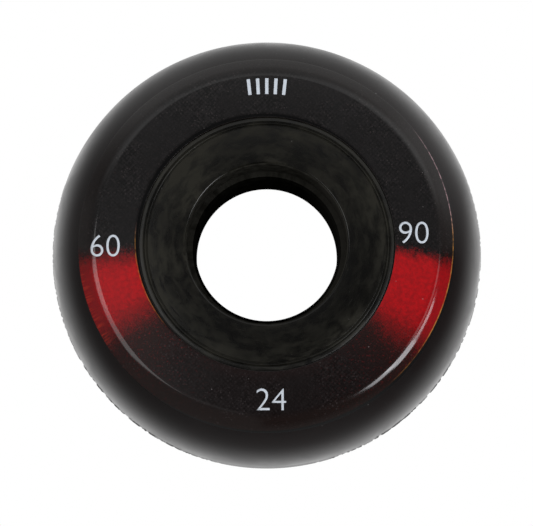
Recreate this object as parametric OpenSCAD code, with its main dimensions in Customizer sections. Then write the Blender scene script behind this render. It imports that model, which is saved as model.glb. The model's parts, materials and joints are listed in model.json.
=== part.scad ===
// Inline skate wheel: a cast urethane tyre locked onto a moulded core, with a printed film on each side.
// The wheel spins about the Y axis, its centre is the origin, and its front face looks towards -Y.

/* [Tyre] */
// Diameter over the tread
wheel_d = 60; // [54:0.5:72]
// Width across the two flat side faces
tyre_w = 24; // [24:0.2:30]
// Diameter at which the flat side face would meet the curved tread
face_d = 48; // [42:0.5:52]
// Radius that rounds the ridge between side face and tread
ridge_round = 2.2; // [0.4:0.1:2.5]
// Radius that rounds the tyre's inner lip beside the core
lip_round = 0.15; // [0.1:0.05:0.5]

/* [Printed films] */
// Thickness of the film, pressed flush into the side face
film_t = 0.15; // [0.05:0.01:0.3]
// How far the film wraps past the ridge, measured along the radius
film_wrap = 1.9; // [0.8:0.05:2.5]
// Bare width between the core's rim and the film
film_gap = 0.15; // [0.15:0.05:1]

/* [Bearing seats] */
// Outside diameter of the bearing that is pressed in
bearing_d = 22; // [19:0.5:24]
// Width of the bearing
bearing_w = 7; // [5:0.5:9]
// How far the bearing stands out of its seat
bearing_proud = 0.2; // [0.1:0.1:2.5]
// Diameter of the opening inside the shoulder between the seats
shoulder_d = 19.75; // [16:0.25:21]
// Width of the shoulder between the seats, just under the length of the bearing spacer
shoulder_w = 10; // [7:0.1:10.2]
// Radius that rounds the two edges of the shoulder
shoulder_round = 0.4; // [0.1:0.05:0.8]
// Chamfer at each seat's mouth
mouth_chamfer = 0.4; // [0.2:0.05:0.8]

/* [Core] */
// Diameter of the core's flat end face
hub_face_d = 32.7; // [29:0.1:35]
// Width of the bare floor beside each bead
groove_w = 0.1; // [0.05:0.05:0.5]
// Depth of that floor below the end face
groove_depth = 0.15; // [0.05:0.05:0.5]
// Width of the inner half-round bead
inner_bead_w = 0.4; // [0.2:0.05:0.8]
// Width of the outer half-round bead
outer_bead_w = 0.5; // [0.2:0.05:0.8]
// Thickness of the flange behind each end face
flange_t = 3; // [1.5:0.1:5]
// Outside diameter of the barrel between the flanges
barrel_d = 28; // [25:0.5:31]

/* [Anchor ring] */
// Outside diameter of the ring that the urethane locks onto
anchor_d = 43; // [40:0.5:48]
// Thickness of the ring
anchor_t = 6; // [3:0.2:9]
// Number of holes that the urethane runs through
anchor_holes = 12; // [6:1:16]
// Diameter of those holes
anchor_hole_d = 3.6; // [2:0.1:4.5]
// Diameter of the circle that the holes lie on
anchor_pcd = 36; // [34:0.5:40]

/* [Hidden] */
$fn = 180;

// Tread: an arc from the top of the tread to the edge of the side face
wheel_r = wheel_d / 2;
half_w = tyre_w / 2;
face_r = face_d / 2;
tread_h = wheel_r - face_r;
tread_arc = (tread_h * tread_h + half_w * half_w) / (2 * tread_h);
tread_centre = wheel_r - tread_arc;

// Centre of the ridge's rounding, which touches the side face and the tread's arc
ridge_y = half_w - ridge_round;
ridge_reach = tread_arc - ridge_round;
ridge_x = tread_centre + sqrt(ridge_reach * ridge_reach - ridge_y * ridge_y);

// Bore
seat_r = bearing_d / 2;
shoulder_r = shoulder_d / 2;
half_shoulder = shoulder_w / 2;
half_hub = half_shoulder + bearing_w - bearing_proud;

// Rings on the side face, from the core outwards
hub_face_r = hub_face_d / 2;
groove_floor = half_hub - groove_depth;
inner_bead_x = hub_face_r + groove_w + inner_bead_w / 2;
outer_bead_x = inner_bead_x + inner_bead_w / 2 + groove_w + outer_bead_w / 2;
rim_r = outer_bead_x + outer_bead_w / 2 + groove_w;
film_in_r = rim_r + film_gap;
film_out_r = face_r + film_wrap;

// Rectangle in the half-section, mirrored about the wheel's middle plane
module band(inner, outer, half) {
    translate([inner, -half])
        square([outer - inner, 2 * half]);
}

// Two equal circles in the half-section, one on each side of the middle plane
module circle_pair(x, y, radius) {
    for (side = [-1, 1])
        translate([x, side * y])
            circle(radius);
}

// Tyre's outside, filled in to the axis and taken inwards by inset
module tread_section(inset) {
    ridge = ridge_round - inset;
    touch_y = ridge_y + ridge * ridge_y / ridge_reach;
    band(0, ridge_x, half_w - inset);
    circle_pair(ridge_x, ridge_y, ridge);
    intersection() {
        translate([tread_centre, 0])
            circle(tread_arc - inset);
        band(0, wheel_r, touch_y);
    }
}

// Everything outside the core's rim, with the tyre's lip rounded
module lip_section() {
    lip_x = rim_r + lip_round;
    lip_y = half_w - lip_round;
    band(rim_r, wheel_r, lip_y);
    band(lip_x, wheel_r, half_w);
    circle_pair(lip_x, lip_y, lip_round);
}

// Film of one side, from its inner edge, over the ridge, to its outer edge
module film_section() {
    intersection() {
        difference() {
            tread_section(0);
            tread_section(film_t);
        }
        translate([film_in_r, 0])
            square([film_out_r - film_in_r, half_w]);
    }
}

// Core's rim: a low floor with the two half-round beads standing on it
module rim_section() {
    band(seat_r, rim_r, groove_floor);
    circle_pair(inner_bead_x, groove_floor, inner_bead_w / 2);
    circle_pair(outer_bead_x, groove_floor, outer_bead_w / 2);
}

// Space between the two flanges and around the barrel, which the urethane fills
module cavity_section() {
    band(barrel_d / 2, rim_r, half_hub - flange_t);
}

// Shoulder that stops both bearings, with its edges rounded
module shoulder_section() {
    edge_x = shoulder_r + shoulder_round;
    edge_y = half_shoulder - shoulder_round;
    band(shoulder_r, seat_r, edge_y);
    band(edge_x, seat_r, half_shoulder);
    circle_pair(edge_x, edge_y, shoulder_round);
}

// Cut that chamfers both seat mouths
module mouth_section() {
    for (side = [-1, 1])
        polygon([
            [seat_r, side * (half_hub - mouth_chamfer)],
            [seat_r + mouth_chamfer, side * half_hub],
            [seat_r, side * half_hub]
        ]);
}

// Core without its anchor ring
module core_section() {
    shoulder_section();
    difference() {
        union() {
            band(seat_r, hub_face_r, half_hub);
            rim_section();
        }
        mouth_section();
        cavity_section();
    }
}

// Half-section turned about the Y axis, with the section's upper side facing -Y
module turned() {
    rotate([90, 0, 0])
        rotate_extrude()
            children();
}

// Anchor ring with its holes, one of them at the top
module anchor_ring() {
    difference() {
        turned()
            band(seat_r, anchor_d / 2, anchor_t / 2);
        for (i = [0:anchor_holes - 1])
            rotate([0, i * 360 / anchor_holes, 0])
                translate([0, 0, anchor_pcd / 2])
                    rotate([90, 0, 0])
                        cylinder(h = tyre_w, d = anchor_hole_d, center = true);
    }
}

module hub_core() {
    color([0.17, 0.17, 0.155]) {
        turned()
            core_section();
        anchor_ring();
    }
}

module tyre() {
    color([0.07, 0.07, 0.075])
        difference() {
            turned()
                difference() {
                    intersection() {
                        tread_section(0);
                        union() {
                            lip_section();
                            cavity_section();
                        }
                    }
                    film_section();
                    mirror([0, 1])
                        film_section();
                }
            anchor_ring();
        }
}

module front_print() {
    color([0.55, 0.09, 0.11])
        turned()
            film_section();
}

module back_print() {
    color([0.55, 0.09, 0.11])
        turned()
            mirror([0, 1])
                film_section();
}

tyre();
hub_core();
front_print();
back_print();
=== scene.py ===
import json
import math
import bpy
import bmesh
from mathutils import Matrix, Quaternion, Vector


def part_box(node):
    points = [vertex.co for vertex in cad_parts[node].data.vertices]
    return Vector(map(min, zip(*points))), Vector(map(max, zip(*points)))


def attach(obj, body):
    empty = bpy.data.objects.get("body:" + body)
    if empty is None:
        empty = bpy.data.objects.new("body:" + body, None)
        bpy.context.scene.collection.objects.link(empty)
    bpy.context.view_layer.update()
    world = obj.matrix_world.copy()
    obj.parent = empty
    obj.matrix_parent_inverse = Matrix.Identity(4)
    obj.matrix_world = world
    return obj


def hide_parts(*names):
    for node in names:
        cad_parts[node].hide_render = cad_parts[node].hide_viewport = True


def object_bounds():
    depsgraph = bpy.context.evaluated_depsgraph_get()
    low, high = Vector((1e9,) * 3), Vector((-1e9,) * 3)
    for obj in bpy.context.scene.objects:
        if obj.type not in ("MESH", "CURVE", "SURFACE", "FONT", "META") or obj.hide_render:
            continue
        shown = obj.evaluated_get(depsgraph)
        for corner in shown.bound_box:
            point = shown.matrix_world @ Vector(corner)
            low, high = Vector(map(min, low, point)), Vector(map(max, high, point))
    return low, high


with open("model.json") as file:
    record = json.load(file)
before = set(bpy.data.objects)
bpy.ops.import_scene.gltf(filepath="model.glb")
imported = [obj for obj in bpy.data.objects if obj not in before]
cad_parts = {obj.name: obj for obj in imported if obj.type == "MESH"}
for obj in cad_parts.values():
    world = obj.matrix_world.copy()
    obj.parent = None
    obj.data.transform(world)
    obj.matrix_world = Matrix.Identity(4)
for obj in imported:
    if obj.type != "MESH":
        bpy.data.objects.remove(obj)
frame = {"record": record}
cadLow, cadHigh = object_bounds()
mm = 0.001
scene = bpy.context.scene
print("frame loaded")


def addObject(name, data):
    thing = bpy.data.objects.new(name, data)
    scene.collection.objects.link(thing)
    return thing


def emptyTree(block):  # of a material or a world
    block.use_nodes = True
    block.node_tree.nodes.clear()
    return block.node_tree


# helpers that both kinds of node tree use
def place(tree, kind, sockets=None, **settings):
    node = tree.nodes.new(kind)
    for key, value in settings.items():
        setattr(node, key, value)
    for key, value in (sockets or {}).items():
        if isinstance(value, bpy.types.NodeSocket):
            tree.links.new(value, node.inputs[key])
        else:
            node.inputs[key].default_value = value
    return node


def calc(tree, operation, first, second=0.0):
    return place(tree, "ShaderNodeMath", {0: first, 1: second}, operation=operation).outputs[0]


def times(tree, first, *others):
    for other in others:
        first = calc(tree, "MULTIPLY", first, other)
    return first


def plus(tree, first, *others):
    for other in others:
        first = calc(tree, "ADD", first, other)
    return first


def minus(tree, first, second):
    return calc(tree, "SUBTRACT", first, second)


def ease(tree, value, low, high, toLow=0.0, toHigh=1.0):  # smooth step from one level to another
    sockets = {"Value": value, "From Min": low, "From Max": high, "To Min": toLow, "To Max": toHigh}
    return place(tree, "ShaderNodeMapRange", sockets, interpolation_type="SMOOTHSTEP").outputs["Result"]


def tint(tree, share, first, second):  # blend of two colours
    return place(tree, "ShaderNodeMix", {0: share, 6: first, 7: second}, data_type="RGBA").outputs[2]


def blend(tree, share, low, high):  # blend of two levels
    return place(tree, "ShaderNodeMix", {0: share, 2: low, 3: high}, data_type="FLOAT").outputs[0]


def noise(tree, vector, scale, detail=3.0, roughness=0.5, distortion=0.0):
    sockets = {"Vector": vector, "Scale": scale, "Detail": detail, "Roughness": roughness,
               "Distortion": distortion}
    return place(tree, "ShaderNodeTexNoise", sockets).outputs["Fac"]


def split(tree, vector):
    return place(tree, "ShaderNodeSeparateXYZ", {0: vector}).outputs


def joined(tree, **axes):
    return place(tree, "ShaderNodeCombineXYZ", axes).outputs[0]


def vectorCalc(tree, operation, sockets):
    return place(tree, "ShaderNodeVectorMath", sockets, operation=operation).outputs[0]


def newGroup(kind, name, inputs, outputs):
    tree = bpy.data.node_groups.new(name, kind + "NodeTree")
    for way, sockets in (("INPUT", inputs), ("OUTPUT", outputs)):
        for label, socketKind in sockets.items():
            tree.interface.new_socket(label, in_out=way, socket_type="NodeSocket" + socketKind)
    return tree, tree.nodes.new("NodeGroupInput").outputs, tree.nodes.new("NodeGroupOutput").inputs


# shader groups that more than one finish uses
def buildWheelPolar():  # radius in metres, and degrees clockwise from the top as the front face is seen
    tree, given, result = newGroup("Shader", "wheelPolar", {"Vector": "Vector"},
                                   {"Radius": "Float", "Turn": "Float"})
    axis = split(tree, given["Vector"])
    square = plus(tree, times(tree, axis["X"], axis["X"]), times(tree, axis["Z"], axis["Z"]))
    tree.links.new(calc(tree, "SQRT", square), result["Radius"])
    angle = calc(tree, "ARCTAN2", axis["X"], axis["Z"])
    tree.links.new(calc(tree, "DEGREES", angle), result["Turn"])
    return tree


def buildDustSpecks():  # scattered grains of dust, each in a cell of its own
    tree, given, result = newGroup(
        "Shader", "dustSpecks",
        {"Vector": "Vector", "Density": "Float", "Share": "Float", "Size": "Float"}, {"Mask": "Float"})
    cells = place(tree, "ShaderNodeTexVoronoi",
                  {"Vector": given["Vector"], "Scale": given["Density"]}).outputs
    chance = place(tree, "ShaderNodeSeparateColor", {0: cells["Color"]}).outputs
    chosen = calc(tree, "LESS_THAN", chance["Red"], given["Share"])
    reach = times(tree, given["Size"], ease(tree, chance["Green"], 0.0, 1.0, 0.35, 1.0))  # small to large
    inside = minus(tree, 1.0, calc(tree, "DIVIDE", cells["Distance"], reach))
    strength = ease(tree, chance["Blue"], 0.0, 1.0, 0.4, 1.0)  # faint to clear
    tree.links.new(times(tree, ease(tree, inside, 0.0, 0.5), chosen, strength), result["Mask"])
    return tree


def buildCloudySmudges():  # soft uneven patches, such as handling leaves on a satin surface
    tree, given, result = newGroup(
        "Shader", "cloudySmudges",
        {"Vector": "Vector", "Scale": "Float", "Low": "Float", "High": "Float"}, {"Value": "Float"})
    cloud = noise(tree, given["Vector"], given["Scale"], 4.0, 0.6, 0.4)
    tree.links.new(ease(tree, cloud, 0.33, 0.67, given["Low"], given["High"]), result["Value"])
    return tree


def buildTurnedStretch():  # coordinates drawn out around the axis, for marks that turning leaves
    tree, given, result = newGroup(
        "Shader", "turnedStretch",
        {"Vector": "Vector", "Around": "Float", "Across": "Float"}, {"Vector": "Vector"})
    flat = vectorCalc(tree, "MULTIPLY", {0: given["Vector"], 1: (1.0, 0.0, 1.0)})
    radius = place(tree, "ShaderNodeVectorMath", {0: flat}, operation="LENGTH").outputs["Value"]
    outward = vectorCalc(tree, "NORMALIZE", {0: flat})
    ring = vectorCalc(tree, "SCALE", {0: outward, "Scale": given["Around"]})
    step = joined(tree, Y=times(tree, radius, given["Across"]))
    tree.links.new(vectorCalc(tree, "ADD", {0: ring, 1: step}), result["Vector"])
    return tree


wheelPolar = buildWheelPolar()
dustSpecks = buildDustSpecks()
cloudySmudges = buildCloudySmudges()
turnedStretch = buildTurnedStretch()


def useGroup(tree, group, vector, values=None):
    return place(tree, "ShaderNodeGroup", {"Vector": vector, **(values or {})}, node_tree=group).outputs


def newFinish(name, **fixed):  # material with a Principled BSDF; fixed values go on its own sockets
    material = bpy.data.materials.new(name)
    tree = emptyTree(material)
    shader = place(tree, "ShaderNodeBsdfPrincipled")
    for key, value in fixed.items():
        shader.inputs[key.replace("_", " ")].default_value = value
    place(tree, "ShaderNodeOutputMaterial", {"Surface": shader.outputs["BSDF"]})
    where = place(tree, "ShaderNodeTexCoord").outputs["Object"]
    return material, tree, shader.inputs, where


def endFinish(material, shader, base, roughness, height, relief):  # relief: strength and depth of the bumps
    tree = material.node_tree
    bumps = place(tree, "ShaderNodeBump", {"Height": height, "Strength": relief[0], "Distance": relief[1]})
    for key, value in (("Base Color", base), ("Roughness", roughness), ("Normal", bumps.outputs["Normal"])):
        tree.links.new(value, shader[key])
    return material


print("shader groups ready")


def shape(tree, kind, sockets=None, **settings):  # first output of a Geometry Nodes node
    return place(tree, "GeometryNode" + kind, sockets, **settings).outputs[0]


def endGeometry(tree, geometry, finish, result):  # how both Geometry Nodes trees end
    real = shape(tree, "RealizeInstances", {"Geometry": geometry})
    tree.links.new(shape(tree, "SetMaterial", {"Geometry": real, "Material": finish}), result["Piece"])


# Geometry Nodes lathe: a closed section, drawn as (radius, towards the front), turned about the Y axis
latheForm = {
    "pathRadius": 0.1 * mm,  # of the circle that the section runs along
    "segments": 384,
    "sharpAngle": 24.0,  # degrees between two faces from which their edge is sharp
}


def buildTurnSection():
    tree, given, result = newGroup(
        "Geometry", "turnSection",
        {"Section": "Geometry", "Path Radius": "Float", "Segments": "Int", "Ragged Depth": "Float",
         "Ragged Scale": "Float", "Ragged Low": "Float", "Ragged High": "Float", "Ragged From": "Float",
         "Ragged Full": "Float", "Ragged Slant": "Float", "Seed": "Float", "Finish": "Material"},
        {"Piece": "Geometry"})
    back = joined(tree, X=times(tree, given["Path Radius"], -1.0))
    profile = shape(tree, "Transform", {"Geometry": given["Section"], "Translation": back})
    path = shape(tree, "CurvePrimitiveCircle",
                 {"Resolution": given["Segments"], "Radius": given["Path Radius"]})
    level = shape(tree, "SetCurveNormal", {"Curve": path}, mode="Z_UP")
    swept = shape(tree, "CurveToMesh", {"Curve": level, "Profile Curve": profile})
    upright = shape(tree, "Transform", {"Geometry": swept, "Rotation": (-math.pi / 2, 0.0, 0.0)})
    # a ragged edge drops back towards the axis by up to Ragged Depth, at the sides and more so low down
    spot = shape(tree, "InputPosition")
    rough = place(tree, "ShaderNodeTexNoise",
                  {"Vector": spot, "W": given["Seed"], "Scale": given["Ragged Scale"], "Detail": 4.0},
                  noise_dimensions="4D").outputs["Fac"]
    axis = split(tree, spot)
    sideways = minus(tree, calc(tree, "ABSOLUTE", axis["X"]), times(tree, axis["Z"], given["Ragged Slant"]))
    depth = ease(tree, sideways, given["Ragged From"], given["Ragged Full"], 0.0, given["Ragged Depth"])
    drop = ease(tree, rough, given["Ragged Low"], given["Ragged High"], depth, 0.0)
    outward = vectorCalc(tree, "NORMALIZE", {0: vectorCalc(tree, "MULTIPLY", {0: spot, 1: (1.0, 0.0, 1.0)})})
    inward = vectorCalc(tree, "SCALE", {0: outward, "Scale": times(tree, drop, -1.0)})
    moved = shape(tree, "SetPosition", {"Geometry": upright, "Offset": inward})
    smooth = shape(tree, "SetShadeSmooth", {"Geometry": moved})
    endGeometry(tree, smooth, given["Finish"], result)
    return tree


turnSection = buildTurnSection()


def bakedMesh(source):  # what its modifier or its text gives, as a plain mesh
    graph = bpy.context.evaluated_depsgraph_get()
    mesh = bpy.data.meshes.new_from_object(source.evaluated_get(graph))
    bpy.data.objects.remove(source)
    return mesh


def meshFromTree(source, name, tree, values):  # runs a tree and keeps its result
    modifier = source.modifiers.new(tree.name, "NODES")
    modifier.node_group = tree
    for item in tree.interface.items_tree:
        if item.in_out == "INPUT" and item.name in values:
            modifier[item.identifier] = values[item.name]
    mesh = bakedMesh(source)
    if mesh.materials[0] is None:  # the empty slot that a primitive brings along
        mesh.materials.pop(index=0)
    mesh.name = name
    return addObject(name, mesh)


def arcPoints(centre, radius, startDeg, endDeg, steps):
    points = []
    for step in range(steps + 1):
        angle = math.radians(startDeg + (endDeg - startDeg) * step / steps)
        points.append((centre[0] + radius * math.cos(angle), centre[1] + radius * math.sin(angle)))
    return points


def bothSides(half):  # front half of a section and its mirror image, as one loop
    return half + [(r, -f) for r, f in reversed(half) if f > 0.0]


def turnedPiece(name, section, finish, segments=latheForm["segments"], ragged=None):
    area = sum(a[0] * b[1] - b[0] * a[1] for a, b in zip(section, section[1:] + section[:1]))
    loop = section if area > 0.0 else section[::-1]
    curve = bpy.data.curves.new(name + "Section", "CURVE")
    spline = curve.splines.new("POLY")
    spline.points.add(len(loop) - 1)
    for point, (r, f) in zip(spline.points, loop):
        point.co = (r, f, 0.0, 1.0)
    spline.use_cyclic_u = True
    source = addObject(name + "Section", curve)
    values = {"Path Radius": latheForm["pathRadius"], "Segments": segments, "Finish": finish,
              **(ragged or {})}
    piece = meshFromTree(source, name, turnSection, values)
    piece.data.set_sharp_from_angle(angle=math.radians(latheForm["sharpAngle"]))
    return piece


print("lathe ready")

# outside form of the wheel, shared by the tyre, the films and the numbers
wheelForm = {
    "radius": min(cadHigh.x, cadHigh.z),
    "halfWidth": cadHigh.y,
    "faceRadius": 24.0 * mm,  # where the flat side face would meet the tread
    "ridgeRound": 2.2 * mm,
}
wheelHalf, ridgeRound = wheelForm["halfWidth"], wheelForm["ridgeRound"]
treadHeight = wheelForm["radius"] - wheelForm["faceRadius"]
treadArc = (treadHeight ** 2 + wheelHalf ** 2) / (2.0 * treadHeight)
treadCentre = wheelForm["radius"] - treadArc
ridgeFront = wheelHalf - ridgeRound
ridgeReach = treadArc - ridgeRound
ridgeRadius = treadCentre + math.sqrt(ridgeReach ** 2 - ridgeFront ** 2)
ridgeTurn = math.degrees(math.atan2(ridgeFront, ridgeRadius - treadCentre))


def sideFront(radius, inset):  # how far the side of the wheel stands in front of its middle plane
    touch = ridgeRadius + (ridgeRound - inset) * math.cos(math.radians(ridgeTurn))
    if radius <= ridgeRadius:
        return wheelHalf - inset
    if radius <= touch:
        return ridgeFront + math.sqrt((ridgeRound - inset) ** 2 - (radius - ridgeRadius) ** 2)
    return math.sqrt((treadArc - inset) ** 2 - (radius - treadCentre) ** 2)


def ridgePoints(inset, steps):  # over the ridge, from the side face to the tread
    return arcPoints((ridgeRadius, ridgeFront), ridgeRound - inset, 90.0, ridgeTurn, steps)


# core: satin moulded ring with the two bearing seats
# a ramp, here and below, is (from, to, level before, level after); scales of noise are per metre
coreForm = {
    "seatRadius": frame["record"]["mounts"][0]["dims"]["r_mm"] * mm,
    "halfWidth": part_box("hub_core")[1].y - 0.1 * mm,  # its end faces, under the top of the outer bead
    "shoulderHalf": 5.0 * mm,
    "shoulderRadius": 9.875 * mm,
    "shoulderRound": 0.4 * mm,
    "mouthRadius": 11.355 * mm,  # where the mouth's rounding meets the end face
    "mouthRound": 0.3 * mm,
    "mouthReach": 0.72,  # how much of that rounding's radius the mouth's own finish takes
    "faceRadius": 16.34 * mm,
    "edgeRound": 0.07 * mm,
    "grooveDepth": 0.15 * mm,
    "beadRadius": 16.65 * mm,
    "beadRound": 0.17 * mm,
    "brimInner": 16.98 * mm,  # sloping brim outside the bead
    "brimOuter": 17.48 * mm,
    "brimRise": 0.08 * mm,
    "brimSlope": (2.0, 22.0),  # degrees that it falls away at its inner and outer edge
    "rimRadius": 17.55 * mm,
    "flange": 3.0 * mm,
    "barrelRadius": 14.0 * mm,
    "anchorRadius": 21.5 * mm,
    "anchorHalf": 3.0 * mm,
    "darkTone": (0.0004, 0.0003, 0.0002, 1.0),
    "lightTone": (0.0128, 0.0118, 0.0078, 1.0),
    "scuffTone": (0.025, 0.024, 0.021, 1.0),
    "dustTone": (0.11, 0.11, 0.10, 1.0),
    "smearStretch": {"Around": 5.0, "Across": 800.0},
    "smear": {"Scale": 1.0, "Low": 0.0, "High": 0.8},
    "cloudScale": 130.0,
    "cloudRamp": (0.32, 0.7, 0.0, 0.3),
    "boreShadeRamp": (13.5 * mm, 16.2 * mm, 0.66, 1.1),  # painted shade: darker towards the bore, lighter towards the rim
    "broadScale": 75.0,
    "broadRamp": (0.36, 0.64, 0.6, 1.4),
    "upperRamp": (-14.0 * mm, 14.0 * mm, 1.35, 0.75),  # lighter at the left
    "lowerRamp": (-9.0 * mm, 9.0 * mm, 0.62, 1.45),  # and at the right low down
    "lowRamp": (-12.5 * mm, -8.5 * mm, 1.0, 0.0),
    "scuffStretch": {"Around": 9.0, "Across": 7000.0},
    "scuffRamp": (0.6, 0.8),
    "scuffShare": 0.2,
    "scuffDepth": -0.8,
    "dustAndPaintedLight": {"Density": 900.0, "Share": 0.12, "Size": 0.13},
    "dustShare": 0.7,
    "dustRoughness": 0.2,
    "grainScale": 5200.0,
    "relief": (0.18, 0.02 * mm),
    # specular level and roughness, bare and smeared, of the face, the brims and the mouths
    "satin": (0.18, 0.26, 0.4),
    "brim": (0.34, 0.26, 0.4),
    "mouth": (0.3, 0.13, 0.22),
}


def coreSection():
    c = coreForm
    half = c["halfWidth"]
    shoulder = c["shoulderHalf"]
    floor = half - c["grooveDepth"]
    roundOff = c["edgeRound"]
    points = [(c["shoulderRadius"], 0.0)]
    points += arcPoints((c["shoulderRadius"] + c["shoulderRound"], shoulder - c["shoulderRound"]),
                        c["shoulderRound"], 180.0, 90.0, steps=8)
    points += [(c["seatRadius"], shoulder)]
    mouth = arcPoints((c["mouthRadius"], half - c["mouthRound"]), c["mouthRound"], 135.0, 90.0, steps=8)
    points += [(c["seatRadius"], mouth[0][1] - (mouth[0][0] - c["seatRadius"]))] + mouth
    points += arcPoints((c["faceRadius"] - roundOff, half - roundOff), roundOff, 90.0, 0.0, steps=4)
    points += [(c["faceRadius"], floor)]
    points += arcPoints((c["beadRadius"], floor), c["beadRound"], 180.0, 0.0, steps=12)
    flat, steep = (math.radians(slope) for slope in c["brimSlope"])
    brimArc = (c["brimOuter"] - c["brimInner"]) / (math.sin(steep) - math.sin(flat))
    brimCentre = (c["brimInner"] - brimArc * math.sin(flat), half + c["brimRise"] - brimArc * math.cos(flat))
    points += [(c["brimInner"], floor)]
    points += arcPoints(brimCentre, brimArc, 90.0 - c["brimSlope"][0], 90.0 - c["brimSlope"][1], steps=8)
    points += [(c["brimOuter"], floor), (c["rimRadius"], floor)]
    points += [(c["rimRadius"], half - c["flange"]), (c["barrelRadius"], half - c["flange"])]
    points += [(c["barrelRadius"], c["anchorHalf"]), (c["anchorRadius"], c["anchorHalf"])]
    return bothSides(points)


def coreFinish(name, specular, smooth, rough):
    c = coreForm
    material, tree, shader, where = newFinish(name, Specular_IOR_Level=specular)
    radius = useGroup(tree, wheelPolar, where)["Radius"]
    drawn = useGroup(tree, turnedStretch, where, c["smearStretch"])[0]
    smear = useGroup(tree, cloudySmudges, drawn, c["smear"])[0]
    cloud = ease(tree, noise(tree, where, c["cloudScale"], 6.0, 0.7), *c["cloudRamp"])
    # painted shade: the face darkens towards the bore
    boreShade = ease(tree, radius, *c["boreShadeRamp"])
    broad = ease(tree, noise(tree, where, c["broadScale"], 2.0), *c["broadRamp"])
    axis = split(tree, where)
    upperTone = ease(tree, axis["X"], *c["upperRamp"])
    lowerTone = ease(tree, axis["X"], *c["lowerRamp"])
    uneven = times(tree, broad, blend(tree, ease(tree, axis["Z"], *c["lowRamp"]), upperTone, lowerTone))
    patch = times(tree, plus(tree, smear, cloud), times(tree, boreShade, uneven))
    fine = useGroup(tree, turnedStretch, where, c["scuffStretch"])[0]
    scuff = ease(tree, noise(tree, fine, 1.0, 2.0), *c["scuffRamp"])
    dustAndPaintedLight = useGroup(tree, dustSpecks, where, c["dustAndPaintedLight"])[0]
    base = tint(tree, patch, c["darkTone"], c["lightTone"])
    base = tint(tree, times(tree, scuff, c["scuffShare"]), base, c["scuffTone"])
    base = tint(tree, times(tree, dustAndPaintedLight, c["dustShare"]), base, c["dustTone"])
    sheen = plus(tree, ease(tree, patch, 0.0, 1.0, smooth, rough), times(tree, dustAndPaintedLight, c["dustRoughness"]))
    grain = plus(tree, noise(tree, where, c["grainScale"], 2.0), times(tree, scuff, c["scuffDepth"]))
    return endFinish(material, shader, base, sheen, grain, c["relief"])


# walls of the bore, which the mould's cores leave dull
boreForm = {
    "stretch": {"Around": 9.0, "Across": 300.0},
    "alongScale": 900.0,
    "marks": {"Scale": 1.0, "Low": 0.0, "High": 1.0},
    "rightLightRamp": (4.0 * mm, 9.5 * mm, 0.0, 0.55),  # painted light: lighter towards the right
    "roughness": (0.55, 0.75),
    "grainScale": 2600.0,
    "relief": (0.2, 0.03 * mm),
    # dark tone, light tone and painted-light tone of the seats and of the passage between them; the third
    # lightens the walls towards the right
    # painted light and shade: the seats are a lighter copy of the face's nylon, the passage deep in the bore
    # a darker one
    "seat": ((0.0070, 0.0067, 0.0055, 1.0), (0.0180, 0.0172, 0.0145, 1.0), (0.038, 0.036, 0.031, 1.0)),
    "passage": ((0.0006, 0.0006, 0.0004, 1.0), (0.0024, 0.0023, 0.0018, 1.0), (0.012, 0.0115, 0.010, 1.0)),
}


def boreFinish(name, dark, light, dustAndPaintedLight):
    b = boreForm
    material, tree, shader, where = newFinish(name, Specular_IOR_Level=0.0)
    drawn = useGroup(tree, turnedStretch, where, b["stretch"])[0]
    axis = split(tree, where)
    lift = joined(tree, Y=times(tree, axis["Y"], b["alongScale"]))
    marks = vectorCalc(tree, "ADD", {0: drawn, 1: lift})
    patch = useGroup(tree, cloudySmudges, marks, b["marks"])[0]
    # painted light: the walls blend towards the third, lighter tone on the right
    base = tint(tree, ease(tree, axis["X"], *b["rightLightRamp"]), tint(tree, patch, dark, light), dustAndPaintedLight)
    return endFinish(material, shader, base, ease(tree, patch, 0.0, 1.0, *b["roughness"]),
                     noise(tree, where, b["grainScale"], 3.0), b["relief"])


def dressCore(piece):  # gives the seats, the passage, the brims and the mouths their own finishes
    c = coreForm
    floor = c["halfWidth"] - c["grooveDepth"]
    # the seats take the painted-light copy of the nylon, the passage the painted-shade copy
    for finish in (boreFinish("seatNylonPaintedLight", *boreForm["seat"]),
                   boreFinish("passageNylonPaintedShade", *boreForm["passage"]),
                   coreFinish("brimNylon", *c["brim"]), coreFinish("mouthNylon", *c["mouth"])):
        piece.data.materials.append(finish)
    seat, passage, brim, mouth = 1, 2, 3, 4  # places in that list, after the face's own finish
    for face in piece.data.polygons:
        radius = math.hypot(face.center.x, face.center.z)
        if radius < c["shoulderRadius"] + c["shoulderRound"]:
            face.material_index = passage
        elif radius < c["mouthRadius"] - c["mouthReach"] * c["mouthRound"]:
            face.material_index = seat
        elif radius < c["mouthRadius"]:
            face.material_index = mouth
        elif c["brimInner"] < radius < c["brimOuter"] and abs(face.center.y) > floor:
            face.material_index = brim


# tyre: black cast urethane, cut back a hair under the films so that their faces are the outermost
tyreForm = {
    "inset": 0.02 * mm,
    "crownInset": 0.12 * mm,  # leaves room for the flash within the wheel's diameter
    "lipRound": 0.015 * mm,
    "treadSteps": 40,
    "specular": 0.43,
    "darkTone": (0.0036, 0.0014, 0.0013, 1.0),
    "lightTone": (0.0054, 0.0027, 0.0026, 1.0),
    "dustTone": (0.14, 0.14, 0.14, 1.0),
    "smudges": {"Scale": 160.0, "Low": 0.0, "High": 1.0},
    "roughness": (0.34, 0.28),
    "dustAndPaintedLight": {"Density": 800.0, "Share": 0.1, "Size": 0.12},
    "dustShare": 0.6,
    "grainScale": 3000.0,
    "relief": (0.1, 0.02 * mm),
}


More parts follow.
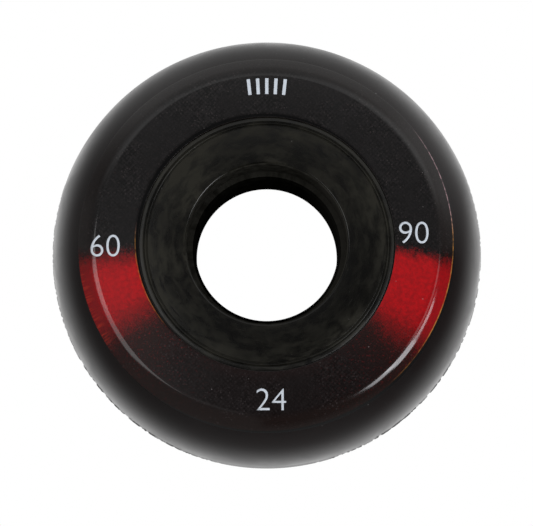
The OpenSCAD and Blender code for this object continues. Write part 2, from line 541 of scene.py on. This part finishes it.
def tyreSection():
    inset = tyreForm["inset"]
    c = coreForm
    flangeFront = c["halfWidth"] - c["flange"]
    lip = tyreForm["lipRound"]
    points = [(c["anchorRadius"], 0.0), (c["anchorRadius"], c["anchorHalf"])]
    points += [(c["barrelRadius"], c["anchorHalf"]), (c["barrelRadius"], flangeFront),
               (c["rimRadius"], flangeFront)]
    corner = (c["rimRadius"] + lip, wheelHalf - inset - lip)
    points += arcPoints(corner, lip, 180.0, 90.0, steps=6)
    points += ridgePoints(inset, steps=10)
    for step in range(1, tyreForm["treadSteps"] + 1):
        share = step / tyreForm["treadSteps"]
        sunk = inset + (tyreForm["crownInset"] - inset) * share * share * (3.0 - 2.0 * share)
        turn = math.radians(ridgeTurn * (1.0 - share))
        points.append((treadCentre + (treadArc - sunk) * math.cos(turn), (treadArc - sunk) * math.sin(turn)))
    return bothSides(points)


def urethaneFinish():
    t = tyreForm
    material, tree, shader, where = newFinish("blackUrethane", Specular_IOR_Level=t["specular"])
    patch = useGroup(tree, cloudySmudges, where, t["smudges"])[0]
    dustAndPaintedLight = useGroup(tree, dustSpecks, where, t["dustAndPaintedLight"])[0]
    base = tint(tree, patch, t["darkTone"], t["lightTone"])
    base = tint(tree, times(tree, dustAndPaintedLight, t["dustShare"]), base, t["dustTone"])
    return endFinish(material, shader, base, ease(tree, patch, 0.0, 1.0, *t["roughness"]),
                     noise(tree, where, t["grainScale"], 3.0), t["relief"])


# flash: the ragged fin that the mould's parting leaves around the tread
flashForm = {
    "halfWidth": 1.2 * mm,
    "tipHalf": 0.04 * mm,
    "root": 0.05 * mm,
    "segments": 2880,
    # it is smooth up to From, sideways from the axis, and torn beyond Full; a step down counts as Slant steps
    "ragged": {"Ragged Depth": 0.14 * mm, "Ragged Scale": 1300.0, "Ragged Low": 0.38, "Ragged High": 0.54,
               "Ragged From": 20.0 * mm, "Ragged Full": 28.0 * mm, "Ragged Slant": 0.55, "Seed": 4.0},
    "plainTone": (0.0042, 0.0020, 0.0020, 1.0),
    "dullTone": (0.0120, 0.0100, 0.0100, 1.0),  # of torn patches, low at both sides
    "dullAcross": (9.0 * mm, 16.0 * mm),
    "dullUp": (-18.0 * mm, -10.0 * mm, 1.0, 0.0),
    "dullScale": 260.0,
    "dullRamp": (0.44, 0.56),
    "roughness": (0.31, 0.62),
}


def tornFinish():
    f = flashForm
    material, tree, shader, where = newFinish("tornUrethane", Specular_IOR_Level=tyreForm["specular"])
    axis = split(tree, where)
    lower = times(tree, ease(tree, calc(tree, "ABSOLUTE", axis["X"]), *f["dullAcross"]),
                  ease(tree, axis["Z"], *f["dullUp"]))
    dull = times(tree, ease(tree, noise(tree, where, f["dullScale"], 3.0, 0.6), *f["dullRamp"]), lower)
    return endFinish(material, shader, tint(tree, dull, f["plainTone"], f["dullTone"]),
                     ease(tree, dull, 0.0, 1.0, *f["roughness"]),
                     noise(tree, where, tyreForm["grainScale"], 3.0), tyreForm["relief"])


def flashSection():
    tip = wheelForm["radius"]
    foot = tip - tyreForm["crownInset"] - flashForm["root"]
    half, narrow = flashForm["halfWidth"], flashForm["tipHalf"]
    return [(foot, -half), (tip, -narrow), (tip, narrow), (foot, half)]


# films: glossy print that wraps over the ridge of each side face
filmForm = {
    "innerRadius": 17.6 * mm,
    "outerRadius": 25.9 * mm,
    "inset": 0.015 * mm,  # leaves room for the white ink within the wheel's width
    "thickness": 0.1 * mm,
    "edge": 0.005 * mm,
    "dive": 0.02 * mm,  # how far its outer edge runs in under the tyre's skin
    "printInner": 17.7 * mm,
    "printOuter": 25.85 * mm,
    "printEdge": 0.03 * mm,  # softness of both edges
    "printShift": (0.24 * mm, 0.0, -0.27 * mm),  # the print sits this much off centre, up and to the left
    "slopeWidth": 1.3 * mm,  # over which the slope beyond the ridge comes in
    # red: places around the wheel are in degrees from the top, on both sides or clockwise
    "seam": (-20.0, 20.0),  # where the left half gives way to the right one
    "redTop": (92.5, 101.5),  # where the red comes in on the right
    "redSlant": 3.84,  # it comes in this many degrees sooner well inside
    "slantMargin": 0.25,  # how far that slant runs past the print, as a share of its width
    "leftTop": (88.5, 104.0),  # on the left it comes in more softly
    "redEnd": (109.0, 138.0, 1.0, 0.0),  # where it dies away
    "leftLead": 3.0,  # on the left this many degrees sooner
    "waver": 5.0,  # degrees by which its ends waver
    "waverScales": (330.0, 1700.0),
    "dotPitch": 0.26 * mm,
    "dotShare": 0.03,
    "grainScale": 5600.0,
    "grainShare": 0.8,
    "inkRamp": (0.12, 1.05),
    "strayScale": 3600.0,  # a few grains of red beyond its end
    "strayRamp": (0.56, 0.74),
    "strayStart": (100.0, 116.0),
    "strayEnd": (116.0, 168.0, 0.26, 0.0),
    "redCloud": {"Scale": 1900.0, "Low": 0.45, "High": 1.0},
    "slopeRed": (0.85, 0.55),  # how far it turns maroon on the slope, left and right
    # black
    "patchScale": 170.0,
    "patchRamp": (0.4, 0.62, 0.3, 1.0),
    "mottleScale": 1900.0,
    "mottleRamp": (0.34, 0.66),
    "screenPitch": 0.62 * mm,
    "screenShare": 0.18,
    "brownRamp": (118.0, 150.0, 0.7, 1.0),
    "emberStart": (104.0, 122.0),
    "emberEnd": (128.0, 150.0, 0.9, 0.0),
    "glowStart": (128.0, 150.0),
    "glowWidth": 2.2 * mm,
    "glowLevels": (0.4, 0.14),
    "specks": {"Density": 2700.0, "Share": 0.7, "Size": 0.45},
    # streaks of brighter red on the left slope
    "streakStretch": {"Around": 120.0, "Across": 420.0},
    "streakRamp": (0.44, 0.66),
    "streakTurn": 110.0,
    "streakSpread": (9.0, 16.0, 0.5, 0.0),
    "streakInner": 0.9 * mm,
    "streakOuter": 0.2 * mm,
    # fringe: a hair of the under-colour at the print's edges, where the colours don't register
    "outerFringe": (0.14 * mm, 0.09 * mm),
    "outerStart": (50.0, 64.0),
    "outerEnd": (112.0, 142.0, 1.0, 0.0),
    "innerFringe": (0.1 * mm, 0.18 * mm),
    "innerTurn": 106.0,
    "innerSpread": (14.0, 26.0, 0.5, 0.0),
    "brokenScale": 1500.0,
    "brokenRamp": (0.34, 0.62, 0.15, 0.9),
    "paleEnd": (78.0, 90.0),
    # coat, dust and skin
    "specular": 0.2,
    "coatRoughness": 0.1,
    "coatIor": 1.5,
    "coatStart": (0.05 * mm, 0.4 * mm),
    "coatLevels": (0.55, 0.4),  # on the print and beyond it
    "dustAndPaintedLight": {"Density": 800.0, "Share": 0.12, "Size": 0.13},
    "dustShare": 0.7,
    "dustRoughness": 0.4,
    "haze": {"Scale": 240.0, "Low": 0.1, "High": 0.16},
    "skinScale": 900.0,
    "inkStand": 0.15,
    "relief": (0.08, 0.02 * mm),
    "redInk": (0.385, 0.0026, 0.0054, 1.0),
    "maroonInk": (0.17, 0.0028, 0.0046, 1.0),
    "deepInk": (0.0006, 0.0004, 0.0004, 1.0),
    "blackInk": (0.0072, 0.0060, 0.0062, 1.0),
    "speckInk": (0.024, 0.0190, 0.0190, 1.0),
    "emberInk": (0.0130, 0.0042, 0.0036, 1.0),
    "brownInk": (0.0075, 0.0046, 0.0039, 1.0),
    "bareBlack": (0.0006, 0.0006, 0.0007, 1.0),
    "bareOuter": (0.0050, 0.0050, 0.0050, 1.0),
    "fringeInk": (0.38, 0.17, 0.035, 1.0),
    "paleFringe": (0.37, 0.23, 0.25, 1.0),
    "streakInk": (0.40, 0.026, 0.010, 1.0),
    "dustTone": (0.2, 0.18, 0.18, 1.0),
}


def filmSection():
    inset = filmForm["inset"]
    deep = inset + filmForm["thickness"]
    outer = filmForm["outerRadius"]

    def skin(depth, edge, sunk):
        last = math.degrees(math.acos((outer - treadCentre) / (treadArc - sunk)))
        start = (filmForm["innerRadius"] + edge, wheelHalf - depth)
        slope = arcPoints((treadCentre, 0.0), treadArc - depth, ridgeTurn, last, steps=12)
        end = (outer, (treadArc - sunk) * math.sin(math.radians(last)))
        return [start] + ridgePoints(depth, steps=12) + slope[1:-1] + [end]

    edge = filmForm["edge"]
    rim = [(filmForm["innerRadius"], wheelHalf - inset - edge)]
    return rim + skin(inset, edge, inset + filmForm["dive"]) + skin(deep, 0.0, deep)[::-1]


def filmFinish():
    f = filmForm
    inner, outer = f["printInner"], f["printOuter"]
    material, tree, shader, where = newFinish("printedFilm", Specular_IOR_Level=f["specular"],
                                              Coat_Roughness=f["coatRoughness"], Coat_IOR=f["coatIor"])
    polar = useGroup(tree, wheelPolar, vectorCalc(tree, "ADD", {0: where, 1: f["printShift"]}))
    radius, turn = polar["Radius"], polar["Turn"]
    fold = calc(tree, "ABSOLUTE", turn)
    axis = split(tree, where)
    slope = ease(tree, radius, ridgeRadius, ridgeRadius + f["slopeWidth"])
    # red that comes in below the numbers and dies away towards the bottom, with a fine printed grain
    slow, quick = [times(tree, minus(tree, noise(tree, where, scale, 3.0, 0.6), 0.5), f["waver"])
                   for scale in f["waverScales"]]
    drift = plus(tree, fold, plus(tree, slow, quick))
    margin = f["slantMargin"] * (outer - inner)
    slant = ease(tree, radius, inner - margin, outer + margin, f["redSlant"], 0.0)
    rightHalf = ease(tree, turn, *f["seam"])
    leftHalf = minus(tree, 1.0, rightHalf)
    rightTop = times(tree, ease(tree, plus(tree, drift, slant), *f["redTop"]), rightHalf)
    leftTop = times(tree, ease(tree, drift, *f["leftTop"]), leftHalf)
    late = plus(tree, drift, times(tree, leftHalf, f["leftLead"]))
    fade = times(tree, plus(tree, rightTop, leftTop), ease(tree, late, *f["redEnd"]))
    dotRate = math.pi * math.sqrt(2.0) / f["dotPitch"]
    across = calc(tree, "COSINE", times(tree, plus(tree, axis["X"], axis["Z"]), dotRate))
    along = calc(tree, "COSINE", times(tree, minus(tree, axis["X"], axis["Z"]), dotRate))
    dots = times(tree, plus(tree, across, along), f["dotShare"])
    grain = times(tree, minus(tree, noise(tree, where, f["grainScale"], 2.0, 0.6), 0.5), f["grainShare"])
    inked = ease(tree, plus(tree, fade, dots, grain), *f["inkRamp"])
    stray = ease(tree, noise(tree, where, f["strayScale"], 2.0, 0.6), *f["strayRamp"])
    tail = times(tree, ease(tree, fold, *f["strayEnd"]), ease(tree, fold, *f["strayStart"]))
    inked = calc(tree, "MAXIMUM", inked, times(tree, stray, tail))
    cloud = useGroup(tree, cloudySmudges, where, f["redCloud"])[0]
    red = tint(tree, cloud, f["maroonInk"], f["redInk"])
    maroon = times(tree, slope, ease(tree, turn, *f["seam"], *f["slopeRed"]))
    red = tint(tree, maroon, red, f["maroonInk"])
    # black with a fine mottle and faint grey specks, browner on the slope and redder low down
    patchy = ease(tree, noise(tree, where, f["patchScale"], 3.0, 0.6), *f["patchRamp"])
    screenRate = 2.0 * math.pi / f["screenPitch"]
    screen = times(tree, calc(tree, "COSINE", times(tree, axis["X"], screenRate)),
                   calc(tree, "COSINE", times(tree, axis["Z"], screenRate)))
    uneven = plus(tree, noise(tree, where, f["mottleScale"], 1.0, 0.5), times(tree, screen, f["screenShare"]))
    mottle = blend(tree, patchy, 0.5, ease(tree, uneven, *f["mottleRamp"]))
    black = tint(tree, mottle, f["deepInk"], f["blackInk"])
    brown = times(tree, slope, ease(tree, fold, *f["brownRamp"]))
    black = tint(tree, brown, black, f["brownInk"])
    ember = times(tree, ease(tree, fold, *f["emberStart"]), ease(tree, fold, *f["emberEnd"]))
    black = tint(tree, ember, black, f["emberInk"])
    glow = times(tree, ease(tree, fold, *f["glowStart"]),
                 ease(tree, radius, inner, inner + f["glowWidth"], *f["glowLevels"]))
    black = tint(tree, glow, black, f["emberInk"])
    specks = useGroup(tree, dustSpecks, where, f["specks"])[0]
    black = tint(tree, times(tree, specks, patchy), black, f["speckInk"])
    base = tint(tree, inked, black, red)
    # streaks
    radial = useGroup(tree, turnedStretch, where, f["streakStretch"])[0]
    fleck = ease(tree, noise(tree, radial, 1.0, 2.0), *f["streakRamp"])
    leftRed = ease(tree, calc(tree, "ABSOLUTE", plus(tree, turn, f["streakTurn"])), *f["streakSpread"])
    outward = ease(tree, radius, ridgeRadius + f["streakInner"], outer - f["streakOuter"])
    base = tint(tree, times(tree, fleck, leftRed, outward), base, f["streakInk"])
    # fringe
    outerEdge = ease(tree, radius, *(outer - depth for depth in f["outerFringe"]))
    rightSide = times(tree, ease(tree, turn, *f["outerStart"]), ease(tree, turn, *f["outerEnd"]))
    innerEdge = ease(tree, radius, *(inner + depth for depth in f["innerFringe"]), 1.0, 0.0)
    leftSide = ease(tree, calc(tree, "ABSOLUTE", plus(tree, turn, f["innerTurn"])), *f["innerSpread"])
    fringe = plus(tree, times(tree, outerEdge, rightSide), times(tree, innerEdge, leftSide))
    broken = ease(tree, noise(tree, where, f["brokenScale"], 2.0), *f["brokenRamp"])
    under = tint(tree, ease(tree, fold, *f["paleEnd"]), f["paleFringe"], f["fringeInk"])
    base = tint(tree, times(tree, fringe, broken), base, under)
    # bare urethane beyond the print's own edges
    outerStep = (outer - f["printEdge"], outer + f["printEdge"])
    within = times(tree, ease(tree, radius, inner - f["printEdge"], inner + f["printEdge"]),
                   ease(tree, radius, *outerStep, 1.0, 0.0))
    base = tint(tree, within, tint(tree, slope, f["bareBlack"], f["bareOuter"]), base)
    dustAndPaintedLight = useGroup(tree, dustSpecks, where, f["dustAndPaintedLight"])[0]
    base = tint(tree, times(tree, dustAndPaintedLight, f["dustShare"]), base, f["dustTone"])
    coat = times(tree, ease(tree, radius, inner - f["coatStart"][0], inner + f["coatStart"][1]),
                 ease(tree, radius, *outerStep, *f["coatLevels"]))
    tree.links.new(coat, shader["Coat Weight"])
    haze = useGroup(tree, cloudySmudges, where, f["haze"])[0]
    sheen = plus(tree, haze, times(tree, dustAndPaintedLight, f["dustRoughness"]))
    skin = plus(tree, noise(tree, where, f["skinScale"], 2.0), times(tree, inked, f["inkStand"]))
    return endFinish(material, shader, base, sheen, skin, f["relief"])


corePiece = turnedPiece("core_ring", coreSection(), coreFinish("satinNylon", *coreForm["satin"]))
dressCore(corePiece)
print("core turned:", len(corePiece.data.polygons), "faces")
tyrePiece = turnedPiece("urethane_tyre", tyreSection(), urethaneFinish())
flashPiece = turnedPiece("mould_line", flashSection(), tornFinish(), flashForm["segments"],
                         flashForm["ragged"])
print("tyre turned:", len(tyrePiece.data.polygons), "faces")
film = filmFinish()
frontFilm = turnedPiece("front_film", filmSection(), film)
backFilm = turnedPiece("back_film", [(r, -f) for r, f in filmSection()], film)
print("films turned:", len(frontFilm.data.polygons), "faces each")

# numbers and ticks: white ink on the films, upright as each face is seen
numberForm = {
    "height": 3.0 * mm,
    "ink": 0.012 * mm,
    "marks": [("60", -22.1 * mm, -0.3 * mm), ("90", 20.1 * mm, 1.5 * mm), ("24", 0.6 * mm, -21.4 * mm)],
    "thinning": -0.012,  # of the strokes, in the font's own unit
    "curveSteps": 8,
    "cuts": 2,  # of each edge, so that the digits bend over the ridge
    "weld": 0.0005 * mm,
    "colour": (0.56, 0.61, 0.67, 1.0),
    "thinColour": (0.42, 0.44, 0.47, 1.0),
    "patches": {"Scale": 1300.0, "Low": 0.0, "High": 0.35},
    "roughness": (0.25, 0.4),
    "grainScale": 2600.0,
    "relief": (0.1, 0.01 * mm),
}
tickForm = {
    "count": 5,
    "step": 3.2,  # degrees between two ticks
    "radius": 21.8 * mm,
    "length": 2.2 * mm,
    "width": 0.45 * mm,
}


def inkFinish():
    n = numberForm
    material, tree, shader, where = newFinish("whiteInk", Specular_IOR_Level=0.5)
    patch = useGroup(tree, cloudySmudges, where, n["patches"])[0]
    return endFinish(material, shader, tint(tree, patch, n["colour"], n["thinColour"]),
                     ease(tree, patch, 0.0, n["patches"]["High"], *n["roughness"]),
                     noise(tree, where, n["grainScale"], 2.0), n["relief"])


def numberOutline(text):  # flat mesh of the digits, centred on their own box
    n = numberForm
    curve = bpy.data.curves.new("digits", "FONT")
    curve.body = text
    curve.resolution_u = n["curveSteps"]
    curve.offset = n["thinning"]
    mesh = bakedMesh(addObject("digits", curve))
    xs = [v.co.x for v in mesh.vertices]
    ys = [v.co.y for v in mesh.vertices]
    scale = n["height"] / (max(ys) - min(ys))
    middle = Vector(((max(xs) + min(xs)) / 2, (max(ys) + min(ys)) / 2, 0.0))
    for v in mesh.vertices:
        v.co = (v.co - middle) * scale
    return mesh


def inkPiece(name, side, material):  # side: 1 on the front, -1 on the back, read from behind
    solid = bmesh.new()
    for text, right, up in numberForm["marks"]:
        mesh = numberOutline(text)
        for v in mesh.vertices:
            v.co = (v.co.x + right, v.co.y + up, 0.0)
        solid.from_mesh(mesh)
        bpy.data.meshes.remove(mesh)
    bmesh.ops.triangulate(solid, faces=solid.faces[:])
    bmesh.ops.subdivide_edges(solid, edges=solid.edges[:], cuts=numberForm["cuts"], use_grid_fill=True)
    top = bmesh.ops.extrude_face_region(solid, geom=solid.faces[:])["geom"]
    raised = {v for v in top if isinstance(v, bmesh.types.BMVert)}
    for v in solid.verts:
        front = sideFront(math.hypot(v.co.x, v.co.y), filmForm["inset"])
        front += numberForm["ink"] if v in raised else -numberForm["ink"]
        v.co = (side * v.co.x, -side * front, v.co.y)
    bmesh.ops.remove_doubles(solid, verts=solid.verts[:], dist=numberForm["weld"])
    bmesh.ops.recalc_face_normals(solid, faces=solid.faces[:])
    mesh = bpy.data.meshes.new(name)
    solid.to_mesh(mesh)
    solid.free()
    mesh.materials.append(material)
    return addObject(name, mesh)


def buildTickRow():  # short bars on an arc about the wheel's axis, the middle one at the top
    tree, given, result = newGroup(
        "Geometry", "tickRow",
        {"Start": "Geometry", "Count": "Int", "Step": "Float", "Radius": "Float", "Tick Size": "Vector",
         "Front": "Float", "Finish": "Material"},
        {"Piece": "Geometry"})
    index = shape(tree, "InputIndex")
    middle = times(tree, minus(tree, given["Count"], 1.0), 0.5)
    turn = calc(tree, "RADIANS", times(tree, minus(tree, index, middle), given["Step"]))
    right = times(tree, calc(tree, "SINE", turn), given["Radius"])
    up = times(tree, calc(tree, "COSINE", turn), given["Radius"])
    spot = joined(tree, X=right, Y=given["Front"], Z=up)
    points = shape(tree, "Points", {"Count": given["Count"], "Position": spot})
    bar = shape(tree, "MeshCube", {"Size": given["Tick Size"]})
    lean = place(tree, "FunctionNodeEulerToRotation", {0: joined(tree, Y=turn)}).outputs[0]
    row = shape(tree, "InstanceOnPoints", {"Points": points, "Instance": bar, "Rotation": lean})
    endGeometry(tree, row, given["Finish"], result)
    return tree


tickRow = buildTickRow()


def tickPiece(name, side, material):
    source = addObject(name + "Start", bpy.data.meshes.new(name + "Start"))
    front = sideFront(tickForm["radius"], filmForm["inset"])
    values = {"Count": tickForm["count"], "Step": tickForm["step"], "Radius": tickForm["radius"],
              "Tick Size": (tickForm["width"], 2.0 * numberForm["ink"], tickForm["length"]),
              "Front": -side * front, "Finish": material}
    return meshFromTree(source, name, tickRow, values)


whiteInk = inkFinish()
frontNumbers = inkPiece("front_numbers", 1, whiteInk)
backNumbers = inkPiece("back_numbers", -1, whiteInk)
frontTicks = tickPiece("front_ticks", 1, whiteInk)
backTicks = tickPiece("back_ticks", -1, whiteInk)
print("numbers made:", len(frontNumbers.data.polygons), "faces each side")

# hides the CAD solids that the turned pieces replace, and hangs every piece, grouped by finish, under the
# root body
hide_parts("hub_core")
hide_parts("tyre")
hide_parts("front_print")
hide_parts("back_print")
slots = {"core": [corePiece], "urethane": [tyrePiece, flashPiece],
         "film": [frontFilm, backFilm, frontNumbers, backNumbers, frontTicks, backTicks]}
for slotName, pieces in slots.items():
    for piece in pieces:
        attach(piece, "root")
print("pieces placed")

# stage: a pale floor that only shows from above, so that a camera below it sees the white room
floorForm = {
    "size": 3.0,
    "colour": (0.82, 0.82, 0.82, 1.0),
    "dimColour": (0.80, 0.80, 0.80, 1.0),
    "mottleScale": 9.0,
    "glow": 0.3,
}


def floorFinish():
    material = bpy.data.materials.new("paleFloor")
    tree = emptyTree(material)
    where = place(tree, "ShaderNodeTexCoord").outputs["Object"]
    mottle = noise(tree, where, floorForm["mottleScale"])
    colour = tint(tree, mottle, floorForm["colour"], floorForm["dimColour"])
    matte = place(tree, "ShaderNodeBsdfDiffuse", {"Color": colour})
    glow = place(tree, "ShaderNodeEmission", {"Color": colour, "Strength": floorForm["glow"]})
    lit = place(tree, "ShaderNodeAddShader", {0: matte.outputs[0], 1: glow.outputs[0]})
    clear = place(tree, "ShaderNodeBsdfTransparent")
    path = place(tree, "ShaderNodeLightPath").outputs
    facing = minus(tree, 1.0, place(tree, "ShaderNodeNewGeometry").outputs["Backfacing"])
    seen = calc(tree, "MAXIMUM", path["Is Camera Ray"], path["Is Diffuse Ray"])
    shown = times(tree, seen, facing)
    mixed = place(tree, "ShaderNodeMixShader", {0: shown, 1: clear.outputs[0], 2: lit.outputs[0]})
    place(tree, "ShaderNodeOutputMaterial", {"Surface": mixed.outputs[0]})
    return material


def makeFloor():
    half, level = floorForm["size"] / 2, cadLow.z
    mesh = bpy.data.meshes.new("floor")
    corners = [(-half, -half, level), (half, -half, level), (half, half, level), (-half, half, level)]
    mesh.from_pydata(corners, [], [(0, 1, 2, 3)])
    mesh.materials.append(floorFinish())
    addObject("floor", mesh)


# room: white to the camera; for light and gloss, bright behind the wheel and dim in front of it
# ramps run along X (right), Y (back) or Z (up) of the direction looked in
roomForm = {
    "front": 0.07,
    "aboveFront": 0.24,
    "frontRise": (0.06, 0.15),  # Z
    "band": 0.88,  # bright band above the camera
    "bandFrom": 0.17,  # Z
    "bandRise": 0.11,
    "bandFall": (0.13, 0.48),
    "bandRight": (0.02, 0.25, 0.0, 0.17),  # X: it lies higher here
    "bandWiden": 0.9,  # and rises more slowly
    "bandLeft": (-0.5, -0.1, 0.13, 0.0),  # X: here it lies higher too
    "crestRight": (0.05, 0.45, 0.0, 0.26),  # X: shares of the band's level
    "crestLeft": (-0.9, -0.2, 0.2, 1.0),
    "crestEnd": (0.6, 0.9, 1.0, 0.55),
    "ceiling": 0.55,
    "ceilingLeft": (-1.05, -0.5, 0.15, 1.0),  # X: shares of the ceiling's level
    "shadeBack": (-0.15, 0.55, 0.0, 0.38),  # Y: darker at the upper right
    "shadeRight": (0.45, 0.75),  # X
    "shadeEnd": (0.8, 0.95, 1.0, 0.4),
    "wall": 0.12,  # at the left
    "wallEdge": (-0.045, -0.015),  # X
    "wallTop": (0.11, 0.145, 1.0, 0.0),  # Z
    "wallBack": (-0.15, 0.15, 1.0, 0.5),  # Y
    "panel": 0.17,  # on that wall, beside the camera
    "panelLeft": (-0.2, -0.1),  # X
    "panelFoot": (-0.3, -0.1),  # Z
    "back": 1.3,
    "backDepth": (0.2, 0.95),  # Y
    "backTop": (0.2, 0.9, 1.0, 0.66),  # Z
    "backFoot": (-0.8, -0.3, 0.9, 1.0),
    "cornerRight": (0.3, 0.8, 0.0, 0.5),  # X: its upper right corner is darker
    "cornerTop": (0.1, 0.45),  # Z
    "floorFront": 0.05,
    "floorBack": 0.26,
    "floorDepth": (-0.3, 0.0),  # Y
    "floorEdge": (-0.95, -0.5, 1.0, 0.0),  # Z
}


def scaled(ramp, level):
    return (*ramp[:2], ramp[2] * level, ramp[3] * level)


def makeRoom():
    r = roomForm
    scene.world = bpy.data.worlds.new("studioRoom")
    tree = emptyTree(scene.world)
    axis = split(tree, place(tree, "ShaderNodeTexCoord").outputs["Generated"])
    x, y, z = axis["X"], axis["Y"], axis["Z"]
    # in front: the band and the ceiling above it
    right = ease(tree, x, *r["bandRight"])
    start = minus(tree, minus(tree, z, r["bandFrom"]), ease(tree, x, *r["bandLeft"]))
    width = plus(tree, r["bandRise"], times(tree, right, r["bandWiden"]))
    rise = ease(tree, calc(tree, "DIVIDE", start, width), 0.0, 1.0)
    fall = ease(tree, minus(tree, start, right), *r["bandFall"])
    crest = plus(tree, ease(tree, x, *scaled(r["crestRight"], r["band"])),
                 ease(tree, x, *scaled(r["crestLeft"], r["band"])))
    crest = times(tree, crest, ease(tree, x, *r["crestEnd"]))
    ceiling = ease(tree, x, *scaled(r["ceilingLeft"], r["ceiling"]))
    low = ease(tree, z, *r["frontRise"], r["front"], r["aboveFront"])
    front = blend(tree, rise, low, blend(tree, fall, crest, ceiling))
    shade = times(tree, ease(tree, y, *r["shadeBack"]), ease(tree, x, *r["shadeRight"]),
                  ease(tree, x, *r["shadeEnd"]))
    front = times(tree, front, minus(tree, 1.0, shade))
    # at the left: the wall and its panel
    panel = times(tree, ease(tree, x, *r["panelLeft"], 0.0, r["panel"]),
                  ease(tree, x, *r["wallEdge"], 1.0, 0.0), ease(tree, z, *r["panelFoot"]))
    wall = plus(tree, ease(tree, x, *r["wallEdge"], r["wall"], 0.0), panel)
    wall = times(tree, wall, ease(tree, z, *r["wallTop"]), ease(tree, y, *r["wallBack"]))
    # behind the wheel and under it
    corner = times(tree, ease(tree, x, *r["cornerRight"]), ease(tree, z, *r["cornerTop"]))
    back = times(tree, ease(tree, y, *r["backDepth"], 0.0, r["back"]),
                 minus(tree, ease(tree, z, *r["backTop"]), corner), ease(tree, z, *r["backFoot"]))
    floor = times(tree, ease(tree, z, *r["floorEdge"]),
                  ease(tree, y, *r["floorDepth"], r["floorFront"], r["floorBack"]))
    level = calc(tree, "MAXIMUM", calc(tree, "MAXIMUM", plus(tree, front, wall), back), floor)
    seen = place(tree, "ShaderNodeLightPath").outputs["Is Camera Ray"]
    strength = blend(tree, seen, level, 1.0)
    sky = place(tree, "ShaderNodeBackground", {"Color": (1.0, 1.0, 1.0, 1.0), "Strength": strength})
    place(tree, "ShaderNodeOutputWorld", {"Surface": sky.outputs[0]})


coolWhite = (0.95, 0.96, 1.0)
plainWhite = (1.0, 1.0, 1.0)
lampDistance = 0.6
# direction from the wheel, width, height, roll in degrees, brightness and colour of each soft lamp
lampForm = {
    "lampRight": ((0.634, -0.664, -0.397), 0.111, 0.330, -113.5, 8.8, coolWhite),
    "lampTail": ((0.511, -0.714, -0.479), 0.091, 0.212, 55.1, 6.6, coolWhite),
    "lampEdge": ((0.728, -0.648, -0.223), 0.173, 0.108, -22.0, 6.4, coolWhite),
    "lampLeft": ((-0.450, -0.875, -0.176), 0.150, 0.314, 109.2, 1.9, plainWhite),
    "lampHigh": ((-0.510, -0.860, 0.017), 0.103, 0.307, -72.5, 2.8, plainWhite),
    "lampGlow": ((0.470, -0.880, -0.050), 0.110, 0.160, -20.0, 1.3, plainWhite),
}


def makeLamps():
    for name, (direction, width, height, roll, brightness, colour) in lampForm.items():
        lamp = bpy.data.lights.new(name, "AREA")
        lamp.shape = "RECTANGLE"
        lamp.size, lamp.size_y = width, height
        lamp.energy = brightness * math.pi * width * height
        lamp.color = colour
        holder = addObject(name, lamp)
        spot = Vector(direction).normalized() * lampDistance
        holder.location = spot
        turned = (-spot).to_track_quat("-Z", "Y") @ Quaternion((0.0, 0.0, 1.0), math.radians(roll))
        holder.rotation_euler = turned.to_euler()
        holder.visible_camera = False


cameraForm = {
    "elevation": -7.27,  # the photo looks at the front face from slightly below its axis
    "distance": 0.5,
    "lens": 241.2,
    "sensor": 36.0,
    "clip": (0.01, 10.0),
    "aim": (-0.04 * mm, 0.0, -1.2 * mm),
}


def makeCamera():
    camera = bpy.data.cameras.new("photoCamera")
    camera.lens = cameraForm["lens"]
    camera.sensor_width = cameraForm["sensor"]
    camera.clip_start, camera.clip_end = cameraForm["clip"]
    holder = addObject("photoCamera", camera)
    rise = math.radians(cameraForm["elevation"])
    spot = Vector((0.0, -math.cos(rise), math.sin(rise))) * cameraForm["distance"]
    holder.location = spot
    holder.rotation_euler = (Vector(cameraForm["aim"]) - spot).to_track_quat("-Z", "Y").to_euler()
    scene.camera = holder


makeFloor()
makeRoom()
makeLamps()
makeCamera()
scene.view_settings.view_transform = "Standard"
print("stage, lamps and camera ready")
